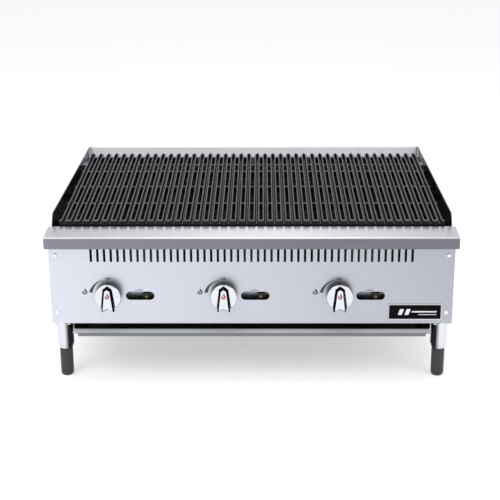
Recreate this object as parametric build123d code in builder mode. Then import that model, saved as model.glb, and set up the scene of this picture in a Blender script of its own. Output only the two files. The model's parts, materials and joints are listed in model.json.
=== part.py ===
from build123d import *
import os
from math import cos, radians, sin

os.makedirs("parts", exist_ok=True)

# A three-burner gas charbroiler for a counter. X runs along the width, Y from the
# front to the back, Z up. The origin is at table level, in the middle of the
# footprint. Lengths are millimetres.

# ------------------------------------------------------------------ driving sizes
# Body
ledge_width = 914.0
body_width = 905.0
body_depth = 701.0
ledge_height = 357.5
body_height = 212.0
splash_rise = 30.0
sheet = 1.5
seam = 0.3

# Front ledge
ledge_overhang = 25.0
ledge_depth = 71.0
ledge_face = 27.0
ledge_rise = 4.0
ledge_back_drop = 12.0
ledge_sheet = 2.0
ledge_bend = 3.0

# Front panel
flange = 12.0
vent_count = 49
vent_pitch = 14.9
vent_width = 5.5
vent_length = 36.0
vent_bottom_drop = 65.2
screw_inset = 14.5
screw_drops = (49.5, 186.0)
screw_radius = 2.4
screw_head_radius = 5.5
screw_head_height = 2.6
plate_size = (121.0, 38.0, 1.0)
plate_right_inset = 24.0
plate_bottom_inset = 9.0

# Side walls
wall_gap = 2.0
splash_front_low = 74.0
splash_front_high = 88.0
splash_back_inset = 10.0
hem_height = 8.0
backsplash_gap = 6.0
louvre_count = 40
louvre_pitch = 20.0
louvre_drop = 50.0
cross_rail_depth = 30.0

# Burners, valves and knobs
burner_side_inset = 193.5
burner_leg_spacing = 124.0
burner_drop = 120.5
burner_radius = 17.0
burner_bore = 13.0
burner_back = 560.0
port_pitch = 14.0
port_size = (14.0, 2.0)
shutter_wall = 1.2
shutter_grip = 9.0
shutter_turn = 20.0
mouth_radius = 22.0
mouth_front = 92.0
mouth_plate = 3.0
mouth_hole_radius = 9.0
air_hole_radius = 5.0
air_hole_circle = 15.0
venturi_length = 48.0
knob_drop = 140.5
knob_radius = 30.0
knob_back_gap = 1.0
knob_depth = 25.0
knob_edge = 3.0
knob_wall = 3.0
knob_hollow = 8.0
knob_hub_radius = 9.0
stem_socket = 17.0
grip_height = 8.0
grip_root = 6.0
stem_radius = 5.0
stem_hole_gap = 3.0
shaft_fit = 0.05
pipe_radius = 13.335
pipe_wall = 2.9
pipe_thread_radius = 13.0
pipe_thread_length = 30.0
pipe_hole_gap = 0.5
valve_boss_radius = 8.0
pilot_boss_radius = 6.0
boss_reach = 1.5
pipe_drop = 153.5
pipe_front = 70.0
inlet_side_inset = 28.5
inlet_reach = 32.0
elbow_radius = 22.0
elbow_body_radius = 17.0
valve_half = 15.0
valve_setback = 4.5
valve_bonnet = 3.0
valve_bonnet_radius = 10.0
valve_arm_radius = 6.5
valve_arm_length = 27.0
valve_cover = 8.0
stem_depth = 12.0
hood_radius = 7.0
hood_length = 8.0
nozzle_radius = 4.0
nozzle_length = 4.0

# Pilot windows, valves and burners
window_size = (64.5, 20.0)
window_offset = 70.3
window_drop = 145.3
pilot_offset = 13.0
pilot_body = (16.0, 15.0, 18.0)
pilot_tube_radius = 2.5
pilot_screw_radius = 1.5
pilot_screw_head = (3.5, 3.0)
pilot_screw_depth = 6.0
pilot_burner_radius = 6.0
pilot_burner_height = 30.0
pilot_burner_setback = 12.0

# Firebox
firewall_front = 125.0
firewall_top_drop = 30.0
angle_drop = 22.0
radiant_base_drop = 62.0
radiant_crest = 35.0
radiant_front = 130.0
radiant_length = 440.0
radiant_sheet = 2.0
seat_depth = 18.0

# Cooking grates
grate_count = 6
grate_bars = 7
bar_width = 12.4
bar_bottom = 6.0
bar_depth = 17.0
groove_width = 7.8
groove_floor = 2.0
groove_depth = 7.5
stop_rise = 4.5
stop_length = 4.0
grate_length = 518.0
grate_front = 78.0
grate_lift = 15.0
grate_slope = 2.25
grate_stub = 4.2
grate_gap = 1.0
grate_side_gap = 15.4
rib_pitch = 124.0
rib_width = 6.0
end_rail_width = 10.0
rail_drop = 1.0
rail_depth = 15.5
scallop_radius = 6.0
scallop_drop = 3.0

# Drip tray and its runners
tray_side_gap = 48.5
tray_drop = 227.0
tray_sheet = 1.2
tray_rim = 13.5
tray_pan_depth = 30.0
tray_pan_front = 27.0
tray_front_slope = 43.0
tray_back = 640.0
tray_flange = 23.6
tray_lip = 8.0
tray_lip_inset = 12.0
runner_clearance = 1.5
runner_height = 16.4
slide_clearance = 0.3

# Base and legs
rail_height = 20.5
leg_radius = 19.05
leg_wall = 1.65
leg_inset_x = 21.0
leg_inset_y = 70.0
leg_foot_z = 70.0
leg_taper = 11.0
leg_plug = 16.0
leg_plate = (42.0, 80.0, 3.0)
foot_radius = 15.0
foot_stud_radius = 6.0
foot_stud_length = 40.0
bolt_radius = 5.0
bolt_head = 4.0

# ------------------------------------------------------------------ derived places
front_reach = knob_back_gap + knob_depth + grip_height - ledge_overhang
overall_depth = front_reach + body_depth + inlet_reach
ledge_front = front_reach - overall_depth / 2
panel_face = ledge_front + ledge_overhang
panel_back = panel_face + sheet
body_back = ledge_front + body_depth
back_panel_front = body_back - sheet

half_body = body_width / 2
body_bottom = ledge_height - body_height
inlet_x = half_body - inlet_side_inset
burner_pitch = half_body - burner_side_inset
skin_inner = half_body - sheet
liner_inner = half_body - sheet - wall_gap
liner_outer = liner_inner + sheet
inner_half = liner_inner - seam
skin_top = ledge_height + ledge_rise - ledge_back_drop - seam
splash_top = ledge_height + splash_rise
splash_back = body_back - splash_back_inset
panel_top = ledge_height - ledge_sheet - 2 * seam

knob_z = ledge_height - knob_drop
burner_z = ledge_height - burner_drop
pipe_z = ledge_height - pipe_drop
pipe_y = ledge_front + pipe_front
window_z = ledge_height - window_drop
burner_xs = [burner_pitch * (index - 1) for index in range(3)]
knob_xs = [x - burner_leg_spacing / 2 for x in burner_xs]
window_xs = [x + window_offset for x in knob_xs]
pilot_xs = [x + pilot_offset for x in window_xs]
boss_face = pipe_y - pipe_radius - boss_reach
pipe_hole = pipe_radius + pipe_hole_gap
mouth_y = ledge_front + mouth_front
firewall_y = ledge_front + firewall_front
firewall_top = ledge_height - firewall_top_drop

slope_cos = cos(radians(grate_slope))
slope_sin = sin(radians(grate_slope))
grate_y = ledge_front + grate_front
grate_z = ledge_height + grate_lift
grate_pitch = (2 * (inner_half - grate_side_gap) + grate_gap) / grate_count
grate_width = grate_pitch - grate_gap
bar_pitch = (grate_width - 2 * grate_stub - bar_width) / (grate_bars - 1)
scallop_foot = rail_drop + rail_depth + scallop_drop
rear_rail_start = 4 * rib_pitch - end_rail_width / 2

rail_top = body_bottom + rail_height
tray_rim_top = ledge_height - tray_drop
tray_width = body_width - 2 * tray_side_gap
runner_inner = tray_width / 2 + runner_clearance
runner_outer = runner_inner + sheet
tray_pan_half = tray_width / 2 - tray_rim
leg_x = half_body - leg_inset_x
leg_ys = (ledge_front + leg_inset_y, body_back - leg_inset_y)
leg_top = body_bottom - leg_plate[2]
leg_tube_length = leg_top - leg_foot_z - leg_taper


# ------------------------------------------------------------------ helpers
def write(piece, name):
    """Label a finished piece and write its STEP file."""
    piece.part.label = name
    export_step(piece.part, f"parts/{name}.step")


def block(x, y, z, mode=Mode.ADD):
    """Box between the given pairs of X, Y and Z limits."""
    centre = ((x[0] + x[1]) / 2, (y[0] + y[1]) / 2, (z[0] + z[1]) / 2)
    with Locations(centre):
        Box(abs(x[1] - x[0]), abs(y[1] - y[0]), abs(z[1] - z[0]), mode=mode)


def rod_y(radius, x, y, z, mode=Mode.ADD):
    """Cylinder along Y between the pair of Y limits."""
    with Locations((x, y[0], z)):
        Cylinder(
            radius,
            y[1] - y[0],
            rotation=(-90, 0, 0),
            align=(Align.CENTER, Align.CENTER, Align.MIN),
            mode=mode,
        )


def folded_face(points, thickness, bend, side=Side.RIGHT):
    """Section of a bent sheet whose outer side follows the points."""
    with BuildSketch() as fold:
        with BuildLine():
            FilletPolyline(*points, radius=bend)
            offset(amount=thickness, side=side)
        make_face()
    return fold.sketch


def outline_face(points):
    """Flat face with straight sides between the points."""
    with BuildSketch() as outline:
        with BuildLine():
            Polyline(*points, close=True)
        make_face()
    return outline.sketch


def slope_point(along, above):
    """Y and Z of a point along the sloping grates and above their top."""
    y = grate_y + along * slope_cos - above * slope_sin
    z = grate_z + along * slope_sin + above * slope_cos
    return (y, z)


# ------------------------------------------------------------------ front ledge
# A folded box: bottom return, rounded front face, gently rising top, back flange.
ledge_points = [
    (panel_face - seam, ledge_height - ledge_face),
    (ledge_front, ledge_height - ledge_face),
    (ledge_front, ledge_height),
    (ledge_front + ledge_depth, ledge_height + ledge_rise),
    (ledge_front + ledge_depth, ledge_height + ledge_rise - ledge_back_drop),
]
ledge_bends = [ledge_sheet, ledge_bend, ledge_sheet]
with BuildPart() as front_ledge:
    with BuildSketch(Plane.YZ.offset(-ledge_width / 2)):
        add(folded_face(ledge_points, ledge_sheet, ledge_bends))
    extrude(amount=ledge_width)
    for end in (-ledge_width / 2, ledge_width / 2 - ledge_sheet):
        with BuildSketch(Plane.YZ.offset(end)):
            with BuildLine():
                FilletPolyline(*ledge_points, radius=[1, 2, ledge_bend, 2, 1], close=True)
            make_face()
        extrude(amount=ledge_sheet)
write(front_ledge, "front_ledge")

# ------------------------------------------------------------------ front panel
vent_z = ledge_height - vent_bottom_drop + vent_length / 2
screw_spots = [
    (side * (half_body - screw_inset), ledge_height - drop)
    for side in (-1, 1)
    for drop in screw_drops
]
with BuildPart() as front_panel:
    with BuildSketch(Plane.XZ.offset(-panel_face)):
        with Locations((0, (body_bottom + panel_top) / 2)):
            Rectangle(body_width, panel_top - body_bottom)
        with Locations((0, vent_z)):
            with GridLocations(vent_pitch, 0, vent_count, 1):
                SlotOverall(vent_length, vent_width, rotation=90, mode=Mode.SUBTRACT)
        with Locations(*[(x, window_z) for x in window_xs]):
            SlotOverall(*window_size, mode=Mode.SUBTRACT)
        with Locations(*[(x, knob_z) for x in knob_xs]):
            Circle(stem_radius + stem_hole_gap, mode=Mode.SUBTRACT)
        with Locations(*screw_spots):
            Circle(screw_radius + seam / 2, mode=Mode.SUBTRACT)
    extrude(amount=-sheet)
    flange_run = (panel_back, panel_back + flange)
    block((-runner_inner, runner_inner), flange_run, (body_bottom, body_bottom + sheet))
    for side in (-1, 1):
        outer = side * (skin_inner - seam)
        block((outer - side * sheet, outer), flange_run, (rail_top + seam, panel_top))
write(front_panel, "front_panel")

# Truss-head screws that hold the front panel.
with BuildPart() as panel_screws:
    for x, z in screw_spots:
        rod_y(screw_radius, x, (panel_face - seam, panel_back + flange), z)
        head = Plane(origin=(x, panel_face, z), x_dir=(1, 0, 0), z_dir=(0, -1, 0))
        with BuildSketch(head):
            Circle(screw_head_radius)
        extrude(amount=screw_head_height, taper=35)
write(panel_screws, "panel_screws")

# Bare name plate at the lower right of the front panel.
plate_x = half_body - plate_right_inset - plate_size[0] / 2
plate_z = body_bottom + plate_bottom_inset + plate_size[1] / 2
with BuildPart() as name_plate:
    with BuildSketch(Plane.XZ.offset(-panel_face)):
        with Locations((plate_x, plate_z)):
            RectangleRounded(plate_size[0], plate_size[1], 1.5)
    extrude(amount=plate_size[2])
write(name_plate, "name_plate")

# ------------------------------------------------------------------ side walls
# Outer skin of each side, from the floor of the body up to the ledge's back drop.
for side, name in ((-1, "left_side_panel"), (1, "right_side_panel")):
    with BuildPart() as side_panel:
        run = (panel_back + seam, back_panel_front - seam)
        block((side * skin_inner, side * half_body), run, (body_bottom, skin_top))
    write(side_panel, name)

# Inner wall that rises above the ledge as a splash guard, hemmed along its top.
liner_bottom = body_bottom + sheet + 2 * seam
splash_outline = [
    (ledge_front + splash_front_low, liner_bottom),
    (ledge_front + splash_front_low, ledge_height + ledge_rise),
    (ledge_front + splash_front_high, splash_top),
    (splash_back + sheet, splash_top),
    (splash_back + sheet, liner_bottom),
]
for side, name in ((-1, "left_splash_guard"), (1, "right_splash_guard")):
    start = min(side * liner_inner, side * liner_outer)
    with BuildPart() as splash_guard:
        with BuildSketch(Plane.YZ.offset(start)):
            add(outline_face(splash_outline))
        extrude(amount=sheet)
        hem = (side * (liner_inner - sheet), side * liner_inner)
        hem_run = (ledge_front + splash_front_high + 4, splash_back - 2 * seam)
        block(hem, hem_run, (splash_top - hem_height, splash_top))
    write(splash_guard, name)

# ------------------------------------------------------------------ back of the body
backsplash_half = liner_inner - backsplash_gap
backsplash_ends = [
    (-backsplash_half, splash_back + hem_height),
    (-backsplash_half, splash_back),
    (backsplash_half, splash_back),
    (backsplash_half, splash_back + hem_height),
]
with BuildPart() as backsplash:
    with BuildSketch(Plane.XY.offset(rail_top + seam)):
        add(folded_face(backsplash_ends, sheet, 3.0, Side.LEFT))
    extrude(amount=splash_top - rail_top - seam)
    flange_run = (splash_back + sheet / 2, back_panel_front - seam)
    block((-backsplash_half + 4, backsplash_half - 4), flange_run, (splash_top - sheet, splash_top))
    rod_y(pipe_hole, inlet_x, (splash_back - 1, splash_back + sheet + 1), pipe_z, Mode.SUBTRACT)
    open_side = (inlet_x, backsplash_half + 1)
    open_depth = (splash_back - 1, body_back)
    block(open_side, open_depth, (pipe_z - pipe_hole, pipe_z + pipe_hole), Mode.SUBTRACT)
write(backsplash, "backsplash")

with BuildPart() as back_panel:
    with BuildSketch(Plane.XZ.offset(-back_panel_front)):
        with Locations((0, (body_bottom + splash_top) / 2)):
            Rectangle(body_width, splash_top - body_bottom)
        with Locations((0, splash_top - louvre_drop)):
            with GridLocations(louvre_pitch, 0, louvre_count, 1):
                SlotOverall(vent_length, vent_width, rotation=90, mode=Mode.SUBTRACT)
        with Locations((inlet_x, pipe_z)):
            Circle(pipe_hole, mode=Mode.SUBTRACT)
    extrude(amount=-sheet)
    for side in (-1, 1):
        outer = side * (skin_inner - seam)
        depth = (splash_back + sheet + seam, back_panel_front)
        block((outer - side * sheet, outer), depth, (rail_top + seam, skin_top - sheet - seam))
write(back_panel, "back_panel")

# ------------------------------------------------------------------ base rails
# Side rails carry the walls, the tray runners and the legs.
rail_run = (panel_back + flange + seam, back_panel_front - seam)
with BuildPart() as base_side_rails:
    for side in (-1, 1):
        foot = (side * runner_outer, side * (skin_inner - seam))
        block(foot, rail_run, (body_bottom, body_bottom + sheet))
        block((side * runner_outer, side * (runner_outer + sheet)), rail_run, (body_bottom, rail_top))
write(base_side_rails, "base_side_rails")

cross_half = runner_inner - seam
rail_front_run = (firewall_y - cross_rail_depth / 2, firewall_y + cross_rail_depth / 2)
rail_back_run = (splash_back - cross_rail_depth, splash_back - sheet)
for run, name in ((rail_front_run, "base_rail_front"), (rail_back_run, "base_rail_back")):
    with BuildPart() as cross_rail:
        block((-cross_half, cross_half), run, (rail_top - sheet, rail_top))
        for y in (run[0], run[1] - sheet):
            block((-cross_half, cross_half), (y, y + sheet), (body_bottom, rail_top))
        for side in (-1, 1):
            tab = (side * cross_half, side * (runner_outer + sheet))
            block(tab, run, (rail_top + seam, rail_top + seam + sheet))
            riser = (side * (cross_half - sheet), side * cross_half)
            block(riser, run, (rail_top - sheet, rail_top + seam + sheet))
    write(cross_rail, name)

# ------------------------------------------------------------------ firebox
# Front wall of the firebox, with a flange forward to the grate rail.
firewall_bottom = rail_top + seam
grate_rail_back = ledge_front + grate_front + seat_depth + 2
with BuildPart() as firewall:
    with BuildSketch(Plane.XZ.offset(-firewall_y)):
        with Locations((0, (firewall_bottom + firewall_top) / 2)):
            Rectangle(2 * inner_half, firewall_top - firewall_bottom)
        with Locations(*[(x, burner_z) for x in knob_xs]):
            Circle(mouth_radius + 2, mode=Mode.SUBTRACT)
        with Locations(*[(x, burner_z) for x in pilot_xs]):
            Circle(pilot_tube_radius + 0.5, mode=Mode.SUBTRACT)
        with Locations((inlet_x, pipe_z)):
            Circle(pipe_hole, mode=Mode.SUBTRACT)
        for side in (-1, 1):
            with Locations((side * (cross_half + inner_half) / 2, firewall_bottom)):
                Rectangle(inner_half - cross_half + 4, 8, mode=Mode.SUBTRACT)
    extrude(amount=-sheet)
    top_run = (grate_rail_back - sheet, firewall_y + sheet)
    block((-inner_half, inner_half), top_run, (firewall_top - sheet, firewall_top))
write(firewall, "firewall")

# Front grate rail: a sloping seat and a leg down to the firewall flange.
front_seat = -scallop_foot - seam
seat_front = slope_point(2, front_seat)
seat_back = slope_point(seat_depth + 2, front_seat)
with BuildPart() as grate_rail_front:
    with BuildSketch(Plane.YZ.offset(-inner_half)):
        add(folded_face([seat_front, seat_back, (seat_back[0], firewall_top + seam)], sheet, 2.0))
    extrude(amount=2 * inner_half)
write(grate_rail_front, "grate_rail_front")

# Rear grate rail: seat, step down and a deck back to the backsplash.
rear_seat = -bar_depth - seam
rear_front = slope_point(rear_rail_start - 9, rear_seat)
rear_back = slope_point(rear_rail_start + 12, rear_seat)
deck_z = rear_back[1] - 18
deck = [
    (rear_front[0], deck_z),
    rear_front,
    rear_back,
    (rear_back[0], deck_z),
    (splash_back - seam, deck_z),
]
with BuildPart() as grate_rail_rear:
    with BuildSketch(Plane.YZ.offset(-inner_half)):
        add(folded_face(deck, sheet, 2.0))
    extrude(amount=2 * inner_half)
write(grate_rail_rear, "grate_rail_rear")

# Angles that carry the radiants, and the burners below them.
radiant_seat = ledge_height - radiant_base_drop
burner_seat = burner_z - burner_radius - seam
radiant_back = ledge_front + radiant_front + radiant_length


def angle_rail(seat_y, leg_y, top):
    """Angle across the firebox: a flat seat and a leg turned down at its edge."""
    low, high = min(seat_y, leg_y), max(seat_y, leg_y)
    leg = (low, low + sheet) if leg_y < seat_y else (high - sheet, high)
    block((-inner_half, inner_half), (low, high), (top - sheet, top))
    block((-inner_half, inner_half), leg, (top - angle_drop, top))


front_angle = firewall_y + sheet + seam
with BuildPart() as radiant_rails:
    angle_rail(front_angle + seat_depth, front_angle, radiant_seat)
    angle_rail(radiant_back - seat_depth + 6, radiant_back + 6, radiant_seat)
write(radiant_rails, "radiant_rails")

burner_back_y = ledge_front + burner_back
with BuildPart() as burner_rails:
    angle_rail(front_angle + 1.5 * seat_depth, front_angle + seat_depth / 2, burner_seat)
    angle_rail(burner_back_y - seat_depth, burner_back_y, burner_seat)
    rod_y(pipe_hole, inlet_x, (front_angle, burner_back_y + 1), pipe_z, Mode.SUBTRACT)
write(burner_rails, "burner_rails")

# Radiants: folded plates with one ridge above each burner leg.
ridge_half = burner_leg_spacing / 2
radiant_base = radiant_seat + radiant_sheet + seam
radiant_points = [
    (-2 * ridge_half, radiant_base),
    (-2 * ridge_half + 10, radiant_base),
    (-ridge_half - 6, radiant_base + radiant_crest),
    (-ridge_half + 6, radiant_base + radiant_crest),
    (-8, radiant_base),
    (8, radiant_base),
    (ridge_half - 6, radiant_base + radiant_crest),
    (ridge_half + 6, radiant_base + radiant_crest),
    (2 * ridge_half - 10, radiant_base),
    (2 * ridge_half, radiant_base),
]
radiant_start = ledge_front + radiant_front
radiant_slots = 9
for index, x in enumerate(burner_xs):
    with BuildPart() as radiant:
        section = Plane(origin=(x, radiant_start + radiant_length, 0), x_dir=(1, 0, 0), z_dir=(0, -1, 0))
        with BuildSketch(section):
            add(folded_face(radiant_points, radiant_sheet, 3.0))
        extrude(amount=radiant_length)
        middle = (x, radiant_start + radiant_length / 2, radiant_base + radiant_crest / 2)
        with Locations(middle):
            with GridLocations(burner_leg_spacing, radiant_length / (radiant_slots + 1), 2, radiant_slots):
                with Locations((-ridge_half / 2 + 2, 0), (ridge_half / 2 - 2, 0)):
                    Box(12, 22, 2 * radiant_crest, mode=Mode.SUBTRACT)
    write(radiant, f"radiant_{index + 1}")

# ------------------------------------------------------------------ burners
# Each burner is a U of cast tube; its left leg is fed by a venturi through the firewall.
leg_start = mouth_y + venturi_length
venturi_profile = [
    (0, mouth_hole_radius),
    (0, mouth_radius),
    (12, mouth_radius),
    (26, burner_bore),
    (34, burner_bore),
    (venturi_length, burner_radius),
    (venturi_length, burner_bore),
    (34, mouth_hole_radius),
    (24, mouth_hole_radius),
    (11, mouth_radius - 3.5),
    (mouth_plate, mouth_radius - 3.5),
    (mouth_plate, mouth_hole_radius),
]
bend_radius = burner_leg_spacing / 2
bend_y = burner_back_y - bend_radius
port_count = int((bend_y - leg_start - 20) / port_pitch)
for index, x in enumerate(burner_xs):
    left = x - burner_leg_spacing / 2
    right = x + burner_leg_spacing / 2
    with BuildPart() as burner:
        with BuildLine(Plane.XY.offset(burner_z)) as route:
            Line((left, leg_start), (left, bend_y))
            RadiusArc((left, bend_y), (right, bend_y), bend_radius)
            Line((right, bend_y), (right, leg_start))
        with BuildSketch(Plane(origin=(left, leg_start, burner_z), x_dir=(1, 0, 0), z_dir=(0, 1, 0))):
            Circle(burner_radius)
            Circle(burner_bore, mode=Mode.SUBTRACT)
        sweep(path=route.wires()[0])
        rod_y(burner_radius, right, (leg_start - 4, leg_start), burner_z)
        turned = Plane(origin=(left, mouth_y, burner_z), x_dir=(0, 1, 0), z_dir=(1, 0, 0))
        with BuildSketch(turned):
            add(outline_face(venturi_profile))
        revolve(axis=Axis((left, mouth_y, burner_z), (0, 1, 0)))
        with BuildSketch(Plane.XZ.offset(-mouth_y)):
            with Locations((left, burner_z)):
                with PolarLocations(air_hole_circle, 3):
                    Circle(air_hole_radius)
        extrude(amount=-mouth_plate, mode=Mode.SUBTRACT)
        ports = (x, (leg_start + bend_y) / 2, burner_z + burner_radius)
        with Locations(ports):
            with GridLocations(burner_leg_spacing, port_pitch, 2, port_count):
                Box(port_size[0], port_size[1], 2 * (burner_radius - burner_bore + 2), mode=Mode.SUBTRACT)
    write(burner, f"burner_{index + 1}")

# Air shutters: caps that turn on the burner mouths, with holes over the mouth's holes.
shutter_inner = mouth_radius + seam
shutter_outer = shutter_inner + shutter_wall
shutter_back = mouth_y - seam
shutter_front = shutter_back - sheet
for index, x in enumerate(knob_xs):
    with BuildPart() as shutter:
        rod_y(shutter_outer, x, (shutter_front, mouth_y + shutter_grip), burner_z)
        rod_y(shutter_inner, x, (shutter_back, mouth_y + shutter_grip), burner_z, Mode.SUBTRACT)
        rod_y(mouth_hole_radius, x, (shutter_front, shutter_back), burner_z, Mode.SUBTRACT)
        with BuildSketch(Plane.XZ.offset(-shutter_front)):
            with Locations((x, burner_z)):
                with PolarLocations(air_hole_circle, 3, start_angle=shutter_turn):
                    Circle(air_hole_radius)
        extrude(amount=-sheet, mode=Mode.SUBTRACT)
    write(shutter, f"air_shutter_{index + 1}")

# ------------------------------------------------------------------ gas pipes
pipe_left = knob_xs[0] - 55
elbow_x = inlet_x - elbow_radius
elbow_y = pipe_y + elbow_radius
with BuildPart() as manifold_pipe:
    with Locations((pipe_left, pipe_y, pipe_z)):
        Cylinder(
            pipe_radius,
            elbow_x - pipe_left,
            rotation=(0, 90, 0),
            align=(Align.CENTER, Align.CENTER, Align.MIN),
        )
    for x in knob_xs:
        rod_y(valve_boss_radius, x, (boss_face, pipe_y), pipe_z)
    for x in pilot_xs:
        rod_y(pilot_boss_radius, x, (boss_face, pipe_y), pipe_z)
write(manifold_pipe, "manifold_pipe")

with BuildPart() as inlet_elbow:
    with BuildLine(Plane.XY.offset(pipe_z)) as turn:
        RadiusArc((elbow_x, pipe_y), (inlet_x, elbow_y), -elbow_radius)
    with BuildSketch(Plane(origin=(elbow_x, pipe_y, pipe_z), x_dir=(0, 1, 0), z_dir=(1, 0, 0))):
        Circle(elbow_body_radius)
    sweep(path=turn.wires()[0])
write(inlet_elbow, "inlet_elbow")

with BuildPart() as inlet_pipe:
    inlet_end = body_back + inlet_reach
    thread_start = inlet_end - pipe_thread_length
    rod_y(pipe_radius, inlet_x, (elbow_y, thread_start), pipe_z)
    rod_y(pipe_thread_radius, inlet_x, (thread_start, inlet_end), pipe_z)
    rod_y(pipe_radius - pipe_wall, inlet_x, (body_back, inlet_end), pipe_z, Mode.SUBTRACT)
write(inlet_pipe, "inlet_pipe")

# ------------------------------------------------------------------ gas valves and knobs
valve_front = panel_back + valve_setback
valve_top = burner_z + valve_cover
valve_low = pipe_z - valve_cover
arm_end = boss_face + valve_arm_length
with BuildPart() as gas_valves:
    for x in knob_xs:
        block((x - valve_half, x + valve_half), (valve_front, boss_face), (valve_low, valve_top))
        rod_y(valve_bonnet_radius, x, (valve_front - valve_bonnet, valve_front), knob_z)
        rod_y(valve_arm_radius, x, (boss_face, arm_end), burner_z)
        bore = (valve_front - valve_bonnet, valve_front + stem_depth)
        rod_y(stem_radius + shaft_fit, x, bore, knob_z, Mode.SUBTRACT)
write(gas_valves, "gas_valves")

# Orifice hoods on the valve arms, pointing into the burner mouths.
with BuildPart() as orifice_hoods:
    for x in knob_xs:
        with BuildSketch(Plane.XZ.offset(-arm_end)):
            with Locations((x, burner_z)):
                RegularPolygon(hood_radius, 6)
        extrude(amount=-hood_length)
        rod_y(nozzle_radius, x, (arm_end + hood_length, arm_end + hood_length + nozzle_length), burner_z)
write(orifice_hoods, "orifice_hoods")

stem_tip = panel_face - knob_back_gap - stem_socket
for index, x in enumerate(knob_xs):
    with BuildPart() as valve_stem:
        rod_y(stem_radius, x, (stem_tip, valve_front + stem_depth - seam), knob_z)
    write(valve_stem, f"valve_stem_{index + 1}")

# Knob: a round cap with a tapered grip bar, a point at its top and a swallow tail below.
knob_back = panel_face - knob_back_gap
knob_front = knob_back - knob_depth
grip_outline = [
    (-9, 19),
    (0, 26),
    (9, 19),
    (14.5, -28),
    (14, -35),
    (0, -27),
    (-14, -35),
    (-14.5, -28),
]
for index, x in enumerate(knob_xs):
    with BuildPart() as knob:
        rod_y(knob_radius, x, (knob_front, knob_back), knob_z)
        fillet(knob.edges().filter_by(GeomType.CIRCLE).group_by(Axis.Y)[0], knob_edge)
        with BuildSketch(Plane.XZ.offset(-(knob_front + grip_root))):
            with Locations((x, knob_z)):
                add(outline_face(grip_outline))
        extrude(amount=grip_root)
        with BuildSketch(Plane.XZ.offset(-knob_front)):
            with Locations((x, knob_z)):
                add(outline_face(grip_outline))
        extrude(amount=grip_height, taper=24)
        rod_y(knob_radius - knob_wall, x, (knob_back - knob_hollow, knob_back), knob_z, Mode.SUBTRACT)
        rod_y(knob_hub_radius, x, (knob_back - knob_hollow, knob_back), knob_z)
        rod_y(stem_radius + shaft_fit, x, (stem_tip - seam, knob_back), knob_z, Mode.SUBTRACT)
    write(knob, f"knob_{index + 1}")

# ------------------------------------------------------------------ pilots
pilot_y = (boss_face - pilot_body[1], boss_face)
pilot_screw_y = pilot_y[0]
pilot_head_radius, pilot_head_depth = pilot_screw_head
with BuildPart() as pilot_valves:
    for x in pilot_xs:
        width = (x - pilot_body[0] / 2, x + pilot_body[0] / 2)
        height = (pipe_z - pilot_body[2] / 2, pipe_z + pilot_body[2] / 2)
        block(width, pilot_y, height)
        bore = (pilot_screw_y, pilot_screw_y + pilot_screw_depth + seam)
        rod_y(pilot_screw_radius + shaft_fit, x, bore, pipe_z, Mode.SUBTRACT)
write(pilot_valves, "pilot_valves")

for index, x in enumerate(pilot_xs):
    with BuildPart() as pilot_screw:
        head = (pilot_screw_y - seam - pilot_head_depth, pilot_screw_y - seam)
        rod_y(pilot_head_radius, x, head, pipe_z)
        rod_y(pilot_screw_radius, x, (head[1], pilot_screw_y + pilot_screw_depth), pipe_z)
        slot = (head[0], head[0] + pilot_head_depth / 2)
        across = (x - pilot_head_radius, x + pilot_head_radius)
        block(across, slot, (pipe_z - 0.5, pipe_z + 0.5), Mode.SUBTRACT)
    write(pilot_screw, f"pilot_screw_{index + 1}")

# Copper tubes from the pilot valves up and back through the firewall.
tube_y = pilot_y[0] + pilot_body[1] / 2
tube_start = pipe_z + pilot_body[2] / 2
pilot_burner_y = firewall_y + sheet + pilot_burner_setback
with BuildPart() as pilot_tubes:
    for x in pilot_xs:
        with BuildLine(Plane.YZ.offset(x)) as tube_route:
            FilletPolyline((tube_y, tube_start), (tube_y, burner_z), (pilot_burner_y, burner_z), radius=12)
        with BuildSketch(Plane.XY.offset(tube_start)):
            with Locations((x, tube_y)):
                Circle(pilot_tube_radius)
        sweep(path=tube_route.wires()[0])
write(pilot_tubes, "pilot_tubes")

# Pilot burners: an upright hood on a foot against the firewall.
pilot_low = burner_z - 8
pilot_axis_y = pilot_burner_y + pilot_burner_radius
firewall_back = firewall_y + sheet + seam
with BuildPart() as pilot_burners:
    for x in pilot_xs:
        with Locations((x, pilot_axis_y, pilot_low)):
            Cylinder(
                pilot_burner_radius,
                pilot_burner_height,
                align=(Align.CENTER, Align.CENTER, Align.MIN),
            )
        foot_width = (x - pilot_burner_radius + 1, x + pilot_burner_radius - 1)
        block(foot_width, (firewall_back, pilot_axis_y), (pilot_low, pilot_low + sheet))
        block(foot_width, (firewall_back, firewall_back + sheet), (pilot_low - 10, pilot_low + sheet))
write(pilot_burners, "pilot_burners")

# ------------------------------------------------------------------ cooking grates
# Each bar is a trough: two rims with a groove between them that drains to the front.
bar_outline = [
    (-bar_width / 2, 0),
    (-groove_width / 2, 0),
    (-groove_floor / 2, -groove_depth),
    (groove_floor / 2, -groove_depth),
    (groove_width / 2, 0),
    (bar_width / 2, 0),
    (bar_bottom / 2, -bar_depth),
    (-bar_bottom / 2, -bar_depth),
]
stop_outline = [
    (-groove_width / 2, 0),
    (0, stop_rise),
    (groove_width / 2, 0),
    (groove_floor / 2, -groove_depth),
    (-groove_floor / 2, -groove_depth),
]
groove_outline = [
    (-groove_width / 2, 0),
    (groove_width / 2, 0),
    (groove_floor / 2, -groove_depth),
    (-groove_floor / 2, -groove_depth),
]
# Pieces that run with the bars: the bars and the stops that close their grooves.
bar_pieces = [
    (bar_outline, 0, grate_length),
    (stop_outline, grate_length - stop_length, stop_length),
]
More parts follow.
